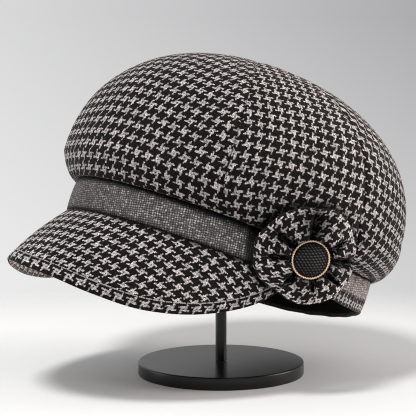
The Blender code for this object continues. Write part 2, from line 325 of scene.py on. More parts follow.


# Brushed wool: matt, with a soft edge sheen from loose fibres. It reads the cloth map.
# Its lift paints this copy's colour lighter, as painted light
def woolCheck(name, lift, sheen=0.11, facing=None):
    made, add = newMaterial(name)
    cloth = add("UVMap", uv_map="cloth")
    check = add("Group", cloth, weave["thread"], node_tree=houndstooth).outputs
    hair = add("TexNoise", cloth, 1 / weave["hairSize"], 2.0, 0.7)
    patch = add("TexNoise", cloth, 1 / weave["patchSize"], 1.0)
    # Painted shade: each point's value darkens folds, creases and cloth by the rosette
    paintedShadeFac = add("Attribute", attribute_name="foldDepth").outputs["Fac"]
    shade = check["Grain"]
    patchRise, patchLow = weave["patchShade"]
    # Painted shade: each yarn darker towards its edges
    for factor in (add("Math MULTIPLY_ADD", check["Yarn"], *weave["yarnShade"]),
                   add("MapRange", hair, *weave["hairRange"]),
                   add("Math MULTIPLY_ADD", patch, patchRise, patchLow * lift),
                   add("Math MULTIPLY_ADD", paintedShadeFac, -weave["paintedShadeStrength"], 1.0)):
        shade = add("Math MULTIPLY", shade, factor)
    yarns = add("Mix RGBA", check["Light"], weave["blackYarn"], weave["lightYarn"])
    colour = add("VectorMath MULTIPLY", yarns, shade)
    if facing:
        # Painted light: the under side is made paler and browner, as if lit from the floor below
        below = add("Attribute", attribute_name="underSide").outputs["Fac"]
        paintedBounce = add("Math MULTIPLY_ADD", below, weave["paintedBounceGain"], 1.0)
        share = add("Math MULTIPLY", below, weave["paintedBounceShare"])
        colour = add("Mix RGBA", share, add("VectorMath MULTIPLY", colour, paintedBounce), facing)
    height = add("Math MULTIPLY_ADD", hair, 0.5, check["Yarn"])
    bump = add("Bump", weave["relief"], weave["thread"] / 4, None, height)
    add("OutputMaterial", add("BsdfPrincipled", colour, inputs={
        "Roughness": 0.88, "Normal": bump, "Specular IOR Level": 0.12, "Sheen Weight": sheen,
        "Sheen Roughness": 0.3, "Sheen Tint": "#d9d2cf"}))
    return made


# Place of the cloth in its check, in metres. A lay counts checks from a place on the piece,
# and "r" and "u" stand for each 50 mm to the right and upwards, so "ru" is a slow turn or swell.
# Left of "straightFrom" the threads run on without bending further.
def laidCheck(place, lay):
    span = 0.05
    limit = (lay.get("straightFrom", -1.0) - lay["from"][0]) / span
    right = (place[0] - lay["from"][0]) / span
    rise = (place[1] - lay["from"][1]) / span
    past = min(0.0, right - limit)
    right = max(right, limit)
    counts = []
    for way in ("across", "up"):
        total = 0.0
        for key, rate in lay[way].items():
            bends = key.count("r")
            along = right ** bends
            if bends:
                along += bends * right ** (bends - 1) * past
            total += rate * along * rise ** key.count("u")
        counts.append(checkSize * total)
    return tuple(counts)


# Each copy's lift paints its colour lighter as painted light, the peak's and rosette's most
crownWool = woolCheck("brushedWoolHoundstooth", 1.03)
peakWool = woolCheck("peakWoolHoundstoothPaintedLighter", 1.24, facing="#c4b2a8")
rosetteWool = woolCheck("rosetteWoolHoundstoothPaintedLighter", 1.32, sheen=0.05)
print("woven wool made")


# The band's shape, which the crown, the peak and the sweatband follow. The lower edge and the
# upper edge stand out of true by so many millimetres at these degrees round the head.
band = {
    "tilt": math.radians(25.0),
    "centre": Vector((0.0, -0.006, 0.0695)),
    "halfLength": 0.1025,
    "halfWidth": 0.0875,
    "height": 0.0207,
    "wall": 0.0025,
    "bulge": 0.0007,
    "join": math.radians(86.0),
    "joinGap": 0.0008,
    "edgeRounding": 0.0011,
    "columns": 180,
    "lowEdge": [(0, 0.0), (120, 0.0), (130, 0.7), (140, 2.0), (150, 3.0), (160, 2.7), (170, 1.2),
                (180, -0.3), (190, -2.2), (200, -3.6), (212, -4.3), (225, -4.0), (245, -2.4),
                (274, 0.0), (360, 0.0)],
    "highEdge": [(0, 0.0), (112, 0.0), (125, 1.0), (140, 3.0), (152, 3.4), (165, 2.4),
                 (185, 0.6), (200, 0.0), (360, 0.0)],
}
gap = 0.0003


def edgeLift(edge, angle):
    degrees = math.degrees(angle) % 360.0
    for (low, first), (high, second) in zip(edge, edge[1:]):
        if degrees <= high:
            return 0.001 * (first + (second - first) * smoothStep(low, high, degrees))
    return 0.0


def bandPoint(angle, outward, height):
    share = min(1.0, max(0.0, height / band["height"]))
    height += edgeLift(band["lowEdge"], angle) * (1 - share)
    height += edgeLift(band["highEdge"], angle) * share
    radius = 1.0 / math.hypot(math.sin(angle) / band["halfWidth"],
                              math.cos(angle) / band["halfLength"])
    return tippedPoint(band, angle, radius + outward, height)


# The crown: full panels that fold in over the band, with a dent on the wearer's left
crown = {
    "tilt": math.radians(20.5),
    "centre": Vector((0.0, -0.0175, 0.0693)),
    "radius": 0.1085,
    "frontShorter": 0.0105,
    "widestHeight": 0.0475,
    "height": 0.1325,
    "topPower": 2.16,
    "foldPower": 1.9,
    "wall": 0.002,
    "overhang": 0.0013,
    "overhangFront": 0.0007,
    "tuck": 0.0015,
    # Painted shade at the crease by the band, narrower behind
    "paintedShadeStart": 0.0016,
    "paintedShadeEnd": 0.0042,
    "paintedShadeBack": 0.45,
    "seamGap": 0.00012,
    "seamDepth": 0.0011,
    "seamDepthNearTop": 0.0004,
    "seamWidth": 0.0021,
    "puff": 0.0008,
    "uneven": 0.0005,
    "unevenSize": 1 / 28.0,
    "dentDepth": 0.005,
    "dentAngle": 78.0,
    "dentWidth": 20.0,
    "degreesPerColumn": 0.85,
    "foldRows": 26,
    "topRows": 72,
    "sidePower": 0.93,
    "risePower": 1.15,
}

# Panels from the front round to the wearer's left: name, CAD node, its two seams, and the lay
# of its check where that was fitted
crownPanels = [
    ("crownPanelFront", "crown_panel_front", -51.4, 51.4,
     {"from": (0.0509, 0.0420),
      "across": {"": 0.80, "r": 6.36, "u": -0.21, "uu": 0.75, "uuu": -0.21},
      "up": {"": 0.335, "r": -0.42, "u": 5.82, "rr": 0.12, "ru": -0.98, "uu": -0.28,
             "rrr": 0.165, "rru": -0.385, "ruu": -0.22}}),
    ("crownPanelLeftFront", "crown_panel_left_front", 51.4, 102.9,
     {"from": (-0.0047, 0.0651),
      "across": {"": 0.18, "r": 7.04, "u": 0.51, "rr": -0.42, "ru": 0.27, "rru": -0.63,
                 "uuu": -0.31},
      "up": {"": 0.01, "r": -0.66, "u": 6.86, "rr": -0.36, "rru": -1.45}}),
    ("crownPanelLeftBack", "crown_panel_left_back", 102.9, 154.3,
     {"from": (-0.0311, 0.0597),
      "across": {"": 0.46, "r": 7.35, "u": -1.52, "uu": 0.46},
      "up": {"": 0.06, "r": 1.79, "u": 5.96, "ru": 0.72, "uu": -0.26}}),
    ("crownPanelBack", "crown_panel_back", 154.3, 205.7, None),
    ("crownPanelRightBack", "crown_panel_right_back", 205.7, 257.1, None),
    ("crownPanelRightFront", "crown_panel_right_front", 257.1, 308.6, None),
]


# Above the widest line: "rise" goes from there, 0, to the top, 1
def crownTopPoint(angle, rise, puff):
    turn = rise * math.pi / 2
    inward = math.cos(turn) ** (2 / crown["topPower"])
    upward = math.sin(turn) ** (2 / crown["topPower"])
    dent = bell(math.degrees(angle) - crown["dentAngle"], crown["dentWidth"])
    widest = crown["radius"] - crown["frontShorter"] * math.cos(angle)
    widest -= crown["dentDepth"] * dent * (1 - rise) ** 4
    height = crown["widestHeight"] + (crown["height"] - crown["widestHeight"]) * upward
    return tippedPoint(crown, angle, widest * inward + puff * math.cos(turn),
                       height + puff * math.sin(turn) * inward)


# Below it: from the band, 0, to the widest line, 1
def crownFoldPoint(angle, rise, puff):
    outward = crown["overhang"] + crown["overhangFront"] * math.cos(angle)
    low = bandPoint(angle, outward, band["height"] + gap)
    wide = crownTopPoint(angle, 0.0, puff)
    turn = (1 - rise) * math.pi / 2
    out = max(math.cos(turn), 0.0) ** (2 / crown["foldPower"])
    drop = math.sin(turn) ** (2 / crown["foldPower"])
    return Vector((low.x + (wide.x - low.x) * out, low.y + (wide.y - low.y) * out,
                   wide.z - (wide.z - low.z) * drop))


# Distance of a point from the upright line through the crown's top
def crownReach(point):
    local = Matrix.Rotation(crown["tilt"], 3, "X") @ (point - crown["centre"])
    return math.hypot(local.x, local.y)


def crownPanelMesh(name, first, last, lay):
    columns = round((last - first) / crown["degreesPerColumn"])
    centreColumn = columns // 2
    middle = math.radians((first + last) / 2)
    half = math.radians((last - first) / 2)
    sides = [math.copysign(abs(s) ** crown["sidePower"], s) for s in spread(-1, 1, columns)]
    rows, kinds = [], []

    def addRow(kind, radius, pointAt):
        turn = half - math.asin(min(0.9, crown["seamGap"] / 2 / radius))
        rows.append([pointAt(middle + s * turn, crown["puff"] * (1 - s * s)) for s in sides])
        kinds.append(kind)

    low = band["height"] + gap
    for share in (1.0, 0.3):
        addRow(0.0, band["halfWidth"], lambda a, p: bandPoint(a, -share * crown["tuck"], low))
    for i in range(crown["foldRows"]):
        rise = (i / crown["foldRows"]) ** crown["risePower"]
        addRow(rise, band["halfWidth"], lambda a, p: crownFoldPoint(a, rise, p))
    wide = crown["radius"] - crown["frontShorter"]
    for i in range(crown["topRows"]):
        rise = i / crown["topRows"]
        addRow(1 + rise, wide * math.cos(rise * math.pi / 2),
               lambda a, p: crownTopPoint(a, rise, p))

    # Cloth coordinates: straight grain down the middle of each panel, eased in at the fold
    cloth = [[None] * (columns + 1) for _ in rows]
    lastRow = len(rows) - 1
    for i, side in enumerate(sides):
        line = [row[i] for row in rows]
        lengths = runningLengths(line)
        reach = [crownReach(point) for point in line]
        turn = side * half
        for j in range(len(rows)):
            before, after = max(j - 1, 0), min(j + 1, lastRow)
            slope = (reach[after] - reach[before]) / (lengths[after] - lengths[before])
            droop = -0.5 * reach[j] * min(slope, 0.0) * turn * turn
            cloth[j][i] = (max(reach[j:]) * turn, lengths[j] + droop)

    # Seams lie a little lower than the panels, and no hand-made crown is quite even. The
    # crease at the band gets painted shade, narrower behind.
    shaped, creases = [], []
    spine = runningLengths([row[centreColumn] for row in rows])
    narrow = 1.0 if first < 100.0 else crown["paintedShadeBack"]
    for j, row in enumerate(rows):
        near = smoothStep(1.4, 1.6, kinds[j])
        depth = crown["seamDepth"] + (crown["seamDepthNearTop"] - crown["seamDepth"]) * near
        depth *= smoothStep(0.0, 0.35, kinds[j])
        calm = smoothStep(0.0, 0.5, kinds[j]) * smoothStep(2.0, 1.6, kinds[j])
        line = []
        for i, point in enumerate(row):
            along = row[min(i + 1, columns)] - row[max(i - 1, 0)]
            upward = rows[min(j + 1, lastRow)][i] - rows[max(j - 1, 0)][i]
            away = crownReach(point) * half * (1 - abs(sides[i]))
            lift = crown["uneven"] * noise.noise(point / crown["unevenSize"]) * calm
            lift -= depth * bell(away, crown["seamWidth"])
            line.append(point + along.cross(upward).normalized() * lift)
        shaped.append(line)
        crease = smoothStep(crown["paintedShadeEnd"], crown["paintedShadeStart"], spine[j] / narrow)
        creases += [crease] * len(row)
    tipRadius = crown["seamGap"] / 2 / math.sin(min(half, math.pi / 2))
    top = tippedPoint(crown, middle, tipRadius, crown["height"] - crown["seamDepthNearTop"])
    tipCloth = (0.0, cloth[-1][centreColumn][1] + (top - rows[-1][centreColumn]).length)
    if lay:
        cloth = [[laidCheck(place, lay) for place in row] for row in cloth]
        tipCloth = laidCheck(tipCloth, lay)
    return sheetMesh(name, shaped, cloth, tips=[(-1, top, tipCloth)], foldDepth=creases + [0.0])


crownPieces = []
for name, node, first, last, lay in crownPanels:
    mesh = crownPanelMesh(name, first, last, lay)
    piece = finishPiece(name, mesh, crownWool, node)
    crownPieces.append(piece)
    wall = piece.modifiers.new("wall", "SOLIDIFY")
    wall.thickness = crown["wall"]
    wall.offset = -1.0
    wall.use_even_offset = True
print("crown made")


# Closed outline of the band's wall, as (outward, height) from its lower outer corner
def bandOutline(rounding):
    height, inside = band["height"], band["wall"]
    low, high = rounding, height - rounding
    points = cornerPoints(-rounding, low, rounding, -90)
    points += [(0.0, low + (high - low) * share) for share in (0.2, 0.4, 0.6, 0.8)]
    points += cornerPoints(-rounding, high, rounding, 0)
    points += cornerPoints(rounding - inside, high, rounding, 90)
    points += cornerPoints(rounding - inside, low, rounding, 180)
    outline = []
    for outward, z in points:
        bulge = 4 * z / height * (1 - z / height) if outward > -inside / 2 else 0.0
        outline.append((outward + band["bulge"] * bulge, z))
    return outline + [outline[0]]


# Sweeps the outline round the head, pressed in by a depth, and closes both ends
def bandMesh(name, angles, outline, depthAt):
    lengths = runningLengths([bandPoint(a, 0.0, 0.0) for a in angles])
    profile = runningLengths([Vector((x, z, 0.0)) for x, z in outline])
    rows, cloth = [], []
    for angle, length in reversed(list(zip(angles, lengths))):
        rows.append([])
        cloth.append([(length, p) for p in profile])
        for outward, height in outline:
            outward -= depthAt(angle, height) if outward > -band["wall"] / 2 else 0.0
            rows[-1].append(bandPoint(angle, outward, height))

    def closeEnds(shape):
        shape.verts.ensure_lookup_table()
        layer = shape.loops.layers.uv.active
        for start in (0, (len(rows) - 1) * len(outline)):
            ring = [shape.verts[start + k] for k in range(len(outline) - 1)]
            face = shape.faces.new(ring[::-1] if start else ring)
            face.smooth = False
            for loop in face.loops:
                loop[layer].uv = loop.vert.link_loops[0][layer].uv

    return mendMesh(sheetMesh(name, rows, cloth), closeEnds)


tweed = {
    "knotAlong": 0.00155,
    "knotUp": 0.00138,
    "slant": math.radians(-9.0),
    "driftSize": 0.006,
    "drift": 0.0014,
    "wobbleSize": 0.0022,
    "wobble": 0.0013,
    "fibreSize": 0.0007,
    "patchSize": 0.007,
    "calmMiddle": 0.125,
    "calmFrom": 0.015,
    "calmTo": 0.070,
    "calm": 0.46,
    "front": ("#1b1a1a", "#676262", "#f4f0ed"),
    "back": ("#322c2a", "#a59a94", "#f0e6e0"),
    # Painted shade along the band's low and high edges
    "edgeShade": 0.0036,
    "edgeShadeBack": 0.0009,
    "edgeDark": 0.10,
    "edgeInset": 0.0004,
    "paintedShadeStrength": 0.9,
    "knotRange": (0.50, 0.10),
    "patchRange": (0.3, 0.7, 0.15, 0.45),
    "fleckPower": 2.2,
    "fleckShade": (0.76, 0.10),
    "fibreShade": (1.1, 0.45),
    "relief": 0.7,
    "reliefDepth": 0.0003,
}

# The back band is drawn together by its elastic, with a facing of the check below
gathers = {
    "count": 24,
    "depth": 0.0009,
    "fineCount": 88,
    "fineDepth": 0.0003,
    "columns": 700,
    "facingFrom": 0.58,
    "facingTo": 0.36,
    "facing": ("#24201f", "#b3aba8"),
    "squeeze": 1.5,
    "edgeRounding": 0.0006,
    "noLowShade": -0.01,
    "wobble": 0.35,
    "wobbleRate": 6.0,
    "fineWobble": 2.2,
    "calmShare": 0.4,
}


# Basket-woven tweed: grey knots of yarn between dark gaps, some of them nearly white
def tweedMaterial(name, colours, low, high, edge, facing=False):
    made, add = newMaterial(name)
    ground, yarn, fleck = colours
    cloth = add("UVMap", uv_map="cloth")
    along, up, _ = add("SeparateXYZ", cloth).outputs
    bent = stray(add, cloth, cloth, tweed["driftSize"], tweed["drift"], 2.0)
    loose = stray(add, cloth, bent, tweed["wobbleSize"], tweed["wobble"], 1.0)
    threads = add("Mapping", loose, None, (0.0, 0.0, tweed["slant"]),
                  (1 / tweed["knotAlong"], 1 / tweed["knotUp"], 1.0))
    part = add("VectorMath FRACTION", threads)
    chance = add("TexWhiteNoise", add("VectorMath FLOOR", threads), noise_dimensions="2D")
    fibres = add("TexNoise", cloth, 1 / tweed["fibreSize"], 2.0)
    patch = add("TexNoise", cloth, 1 / tweed["patchSize"], 2.0)

    # Knots, calmer away from the middle of what the front shows
    centre = add("VectorMath SUBTRACT", part, (0.5, 0.5, 0.0))
    away = add("VectorMath LENGTH", add("VectorMath MULTIPLY", centre, (1.0, 1.0, 0.0)))
    knot = add("MapRange", away, *tweed["knotRange"])
    uneven = add("Math POWER", chance, tweed["fleckPower"])
    strong = add("Math MULTIPLY_ADD", uneven, *tweed["fleckShade"])
    fromMiddle = add("Math ABSOLUTE", add("Math SUBTRACT", along, tweed["calmMiddle"]))
    calm = add("MapRange", fromMiddle, tweed["calmFrom"], tweed["calmTo"], tweed["calm"])
    bright = add("Math MULTIPLY", add("Math MULTIPLY", knot, calm), strong)
    mottled = add("MapRange", patch, *tweed["patchRange"])
    filled = add("Math MULTIPLY_ADD", knot, 0.5, mottled)
    shown = add("Mix RGBA", bright, add("Mix RGBA", filled, ground, yarn), fleck)

    # Painted shade towards the low and high edges, and from the painted shade value
    paintedShadeFac = add("Attribute", attribute_name="foldDepth").outputs["Fac"]
    lit = add("Math MULTIPLY_ADD", fibres, *tweed["fibreShade"])
    for factor in (add("MapRange", up, low, low + edge, tweed["edgeDark"],
                       interpolation_type="SMOOTHSTEP"),
                   add("MapRange", up, high, high - edge, tweed["edgeDark"],
                       interpolation_type="SMOOTHSTEP"),
                   add("Math MULTIPLY_ADD", paintedShadeFac, -tweed["paintedShadeStrength"], 1.0)):
        lit = add("Math MULTIPLY", lit, factor)
    colour = add("VectorMath MULTIPLY", shown, lit)
    if facing:
        drawn = add("CombineXYZ", add("Math MULTIPLY", along, gathers["squeeze"]), up, 0.0)
        check = add("Group", drawn, weave["thread"], node_tree=houndstooth)
        wool = add("Mix RGBA", check.outputs["Light"], *gathers["facing"])
        below = add("MapRange", up, gathers["facingFrom"] * band["height"],
                    gathers["facingTo"] * band["height"])
        colour = add("Mix RGBA", below, colour, wool)
    height = add("Math MULTIPLY_ADD", fibres, 0.4, knot)
    bump = add("Bump", tweed["relief"], tweed["reliefDepth"], None, height)
    add("OutputMaterial", add("BsdfPrincipled", colour, inputs={
        "Roughness": 0.85, "Normal": bump, "Specular IOR Level": 0.15, "Sheen Weight": 0.08,
        "Sheen Roughness": 0.3}))
    return made


joinInset = band["joinGap"] / 2 / band["halfWidth"]
frontEnd = band["join"] - joinInset
backStart = band["join"] + joinInset


def gatherDepth(angle, height):
    turn = (angle - band["join"]) / (2 * math.pi - 2 * frontEnd)
    wobble = gathers["wobble"] * noise.noise(Vector((angle * gathers["wobbleRate"], 0.0, 3.0)))
    coarse = 0.5 - 0.5 * math.cos(2 * math.pi * (turn * gathers["count"] + wobble))
    wobble *= gathers["fineWobble"]
    fine = 0.5 - 0.5 * math.cos(2 * math.pi * (turn * gathers["fineCount"] + wobble))
    calm = smoothStep(0.0, gathers["calmShare"], height / band["height"])
    return (gathers["depth"] * coarse + gathers["fineDepth"] * fine) * calm


angles = spread(-frontEnd, frontEnd, band["columns"])
outline = bandOutline(band["edgeRounding"])
frontTweed = tweedMaterial("greyWovenTweed", tweed["front"], tweed["edgeInset"],
                           band["height"] - tweed["edgeInset"], tweed["edgeShade"])
frontBand = finishPiece("frontBand", bandMesh("frontBand", angles, outline, lambda a, h: 0.0),
                        frontTweed, "front_band")

angles = spread(backStart, 2 * math.pi - backStart, gathers["columns"])
outline = bandOutline(gathers["edgeRounding"])
backTweed = tweedMaterial("gatheredTweedAndCheck", tweed["back"], gathers["noLowShade"],
                          band["height"] - tweed["edgeInset"] / 2, tweed["edgeShadeBack"],
                          facing=True)
backBand = finishPiece("backBand", bandMesh("backBand", angles, outline, gatherDepth),
                       backTweed, "back_band")
print("bands made")


sweatband = {
    "wall": 0.0012,
    "start": 0.0015,
    "end": 0.0335,
    "columns": 160,
    "headRadius": 0.095,
    "dark": "#030303",
    "pale": "#080808",
    "rib": 0.0005,
    "grainSize": 1 / 900,
}


# Black cotton twill tape: fine slanting ribs, dull
def liningMaterial():
    made, add = newMaterial("blackCottonTwill")
    cloth = add("UVMap", uv_map="cloth")
    along, up, _ = add("SeparateXYZ", cloth).outputs
    ribs = add("Math MULTIPLY", add("Math ADD", along, up), 2 * math.pi / sweatband["rib"])
    grain = add("TexNoise", cloth, 1 / sweatband["grainSize"], 2.0)
    height = add("Math MULTIPLY_ADD", grain, 0.8, add("Math SINE", ribs))
    add("OutputMaterial", add("BsdfPrincipled", inputs={
        "Base Color": add("Mix RGBA", grain, sweatband["dark"], sweatband["pale"]),
        "Roughness": 0.9, "Normal": add("Bump", 0.4, 0.0001, None, height),
        "Specular IOR Level": 0.1}))
    return made


# The tape's outline has two halves that are each other turned round
def sweatbandMesh():
    outer = -(band["wall"] + gap)
    inner = outer - sweatband["wall"]
    low, high = sweatband["start"], sweatband["end"]
    edge = sweatband["wall"] / 2
    cut = 0.3 * edge
    outline = [(outer, low + edge), (outer, (low + high) / 2), (outer, high - edge),
               (outer - cut, high - cut), (outer - edge, high), (inner + cut, high - cut)]
    outline += [(outer + inner - x, low + high - z) for x, z in outline]
    outline.append(outline[0])
    angles = turnsRound(sweatband["columns"])
    rows = [[bandPoint(a, x, z) for a in angles] for x, z in outline]
    profile = runningLengths([Vector((x, z, 0.0)) for x, z in outline])
    cloth = [[(sweatband["headRadius"] * a, p) for a in angles] for p in profile]
    return mendMesh(sheetMesh("sweatband", rows, cloth, wrap=0.0))


finishPiece("sweatbandTape", sweatbandMesh(), liningMaterial(), "sweatband")
print("sweatband made")


# The peak. Its edge is a table of degrees, x, y, and the height on the wearer's left and right.
peak = {
    "edge": [(0.0, 0.0000, -0.1505, 0.0862, 0.0862),
             (14.0, 0.0220, -0.1452, 0.0819, 0.0860),
             (28.0, 0.0425, -0.1298, 0.0721, 0.0768),
             (42.0, 0.0600, -0.1062, 0.0620, 0.0662),
             (56.0, 0.0748, -0.0762, 0.0576, 0.0592),
             (70.0, 0.0840, -0.0436, 0.0601, 0.0604),
             (84.0, 0.0885, -0.0170, 0.0700, 0.0700)],
    "arch": 0.0024,
    "thickness": 0.0025,
    "columns": 220,
    "innerRows": 26,
    "stripRows": 14,
    "strip": 0.0078,
    "stripCheck": 0.0080,
    "grooveDepth": 0.0005,
    "grooveWidth": 0.0007,
    "stripPuff": 0.0003,
    # Painted shade: near the band, and on the edge strip away from the tip
    "paintedShadeStart": 0.0006,
    "paintedShadeEnd": 0.0032,
    "stripShade": 0.22,
    "lay": {"from": (0.0591, -0.0009), "straightFrom": -0.026,
            "across": {"": 0.90, "r": 7.44, "u": -0.58, "rr": -0.30, "ru": -1.05, "uu": 0.53},
            "up": {"": 0.92, "r": -0.85, "u": 7.16, "rr": 0.26, "ru": 0.83, "rrr": 0.23,
                   "uuu": 0.44}},
}
peakLimit = peak["edge"][-1][0]
edgePlaces = [(-a, Vector((-x, y, right))) for a, x, y, left, right in peak["edge"][:0:-1]]
edgePlaces += [(a, Vector((x, y, left))) for a, x, y, left, right in peak["edge"]]


# Point of the peak's edge at an angle, on a smooth curve through the table
def edgePoint(angle):
    last = len(edgePlaces) - 1
    i = min(last - 1, max(0, sum(1 for place in edgePlaces if place[0] <= angle) - 1))
    (beforeAt, before), (lowAt, low), (highAt, high), (afterAt, after) = (
        edgePlaces[k] for k in (max(i - 1, 0), i, i + 1, min(i + 2, last)))
    width = highAt - lowAt
    s = (angle - lowAt) / width
    slopeIn = (high - before) * (width / (highAt - beforeAt))
    slopeOut = (after - low) * (width / (afterAt - lowAt))
    return (low * (2 * s ** 3 - 3 * s ** 2 + 1) + slopeIn * (s ** 3 - 2 * s ** 2 + s)
            + high * (3 * s ** 2 - 2 * s ** 3) + slopeOut * (s ** 3 - s ** 2))


def peakRoot(angle):
    return bandPoint(math.radians(angle), -gap, -gap)


peakLength = (Vector((peak["edge"][0][1:4])) - peakRoot(0.0)).length


# Point of the peak's upper side: "share" goes from the band, 0, to the edge, 1
def peakPoint(angle, share):
    root = peakRoot(angle)
    reach = edgePoint(angle) - root
    outward = direction(math.radians(angle))
    upward = outward - reach * (outward.dot(reach) / reach.length_squared)
    if upward.z < 0 and reach.z > -0.0001:
        upward = -upward
    arch = peak["arch"] * 4 * share * (1 - share) * reach.length / peakLength
    return root + reach * share + upward.normalized() * arch


def peakNormal(angle, share):
    turnStep = (peakPoint(min(angle + 0.2, peakLimit), share)
                - peakPoint(max(angle - 0.2, -peakLimit), share))
    outStep = (peakPoint(angle, min(share + 0.01, 1.0))
               - peakPoint(angle, max(share - 0.01, 0.0)))
    return outStep.cross(turnStep).normalized()


# Third corner of a flat triangle from two corners and its distances to them
def layFlat(first, second, fromFirst, fromSecond, side):
    apart = (second - first).length
    along = (fromFirst ** 2 - fromSecond ** 2 + apart ** 2) / (2 * apart)
    up = math.sqrt(max(fromFirst ** 2 - along ** 2, 0.0))
    line = (second - first) / apart
    return first + line * along + Vector((-line.y, line.x)) * up * side


# The peak's cloth laid out flat: the band line and the edge line, column by column
def unrollPeak(roots, edges):
    count = len(roots)
    middle = count // 2
    flatRoots, flatEdges = [None] * count, [None] * count
    flatRoots[middle] = Vector((0.0, 0.0))
    flatEdges[middle] = Vector((0.0, -(edges[middle] - roots[middle]).length * 1.012))
    for side in (1, -1):
        i, k = middle, middle + side
        while 0 <= k < count:
            flatRoots[k] = layFlat(flatRoots[i], flatEdges[i], (roots[k] - roots[i]).length,
                                   (roots[k] - edges[i]).length, side)
            flatEdges[k] = layFlat(flatEdges[i], flatRoots[k], (edges[k] - edges[i]).length,
                                   (edges[k] - roots[k]).length, -side)
            i, k = k, k + side
    return flatRoots, flatEdges


# Upper and under side joined round the edge, with the check turned along the edge strip
def peakMesh():
    count, strip = peak["columns"], peak["strip"]
    half = peak["thickness"] / 2
    angles = spread(-peakLimit, peakLimit, count)
    roots = [peakPoint(a, 0.0) for a in angles]
    edges = [peakPoint(a, 1.0) for a in angles]
    flatRoots, flatEdges = unrollPeak(roots, edges)
    edgeLengths = runningLengths(edges)

    # Distances from the edge that get a point, close together where the edge rounds over
    nearEdge = [half * s for s in (0.0, 0.04, 0.14, 0.3, 0.5, 0.75, 1.0)]
    nearEdge += [half + (strip - half) * (i + 1) / peak["stripRows"]
                 for i in range(peak["stripRows"])]
    depth = len(nearEdge) + peak["innerRows"]
    verts, cloth, edgeCloth, creases, below = [], [], [], [], []
    for i, angle in enumerate(angles):
        length = (edges[i] - roots[i]).length
        close = min(1.0, length * 0.8 / strip)
        away = [d * close for d in nearEdge]
        rest = (length - away[-1]) / peak["innerRows"]
        away += [away[-1] + rest * (k + 1) for k in range(peak["innerRows"])]
        # Painted shade on the edge strip, growing away from the tip, and near the band
        turned = peak["stripShade"] * smoothStep(5.0, 35.0, abs(angle))
        line = []
        for k, distance in enumerate(away):
            share = max(0.0, 1 - distance / length)
            point, normal = peakPoint(angle, share), peakNormal(angle, share)
            crease = smoothStep(peak["paintedShadeEnd"], peak["paintedShadeStart"],
                                (point - roots[i]).length)
            crease = max(crease, turned) if k < len(nearEdge) else crease
            d = distance / close
            plump = half * math.sqrt(max(0.0, 1 - (1 - min(1.0, d / half)) ** 2))
            relief = peak["stripPuff"] * math.sin(math.pi * min(1.0, d / strip)) ** 2
            relief -= peak["grooveDepth"] * bell(d - strip, peak["grooveWidth"])
            centre = point - normal * half
            flat = laidCheck(flatRoots[i] * (1 - share) + flatEdges[i] * share, peak["lay"])
            line.append((centre + normal * (plump + relief * close), centre - normal * plump,
                         flat, edgeLengths[i] * checkSize / peak["stripCheck"], d * 0.93,
                         crease))
        for j in range(1 - depth, depth):
            upper, lower, flat, u, v, crease = line[abs(j)]
            verts.append(upper if j >= 0 else lower)
            cloth.append(flat)
            edgeCloth.append((u, -v if j >= 0 else v))
            creases.append(crease)
            # The under side gets painted bounce light from the floor
            below.append(smoothStep(1.0, 3.0, -j))

    tall = 2 * depth - 1
    faces, places = [], []
    for start in range(0, count * tall, tall):
        for j in range(tall - 1):
            face = [start + j, start + tall + j, start + tall + j + 1, start + j + 1]
            onStrip = max(abs(j - depth + 1), abs(j - depth + 2)) < len(nearEdge)
            faces.append(face)
            places += [(edgeCloth if onStrip else cloth)[k] for k in face]
        faces.append([start + tall - 1, start + 2 * tall - 1, start + tall, start])
        places += [cloth[start]] * 4
    for start in (0, count * tall):
        for j in range(depth - 1):
            face = [start + j, start + j + 1, start + tall - 1 - j]
            if j < depth - 2:
                face.insert(2, start + tall - 2 - j)
            faces.append(face)
            places += [cloth[start]] * len(face)
    floats = {"foldDepth": creases, "underSide": below}
    return mendMesh(newMesh("peak", verts, faces, places, floats), near=0.0)


peakPiece = finishPiece("peakCloth", peakMesh(), peakWool, "peak")
print("peak made")


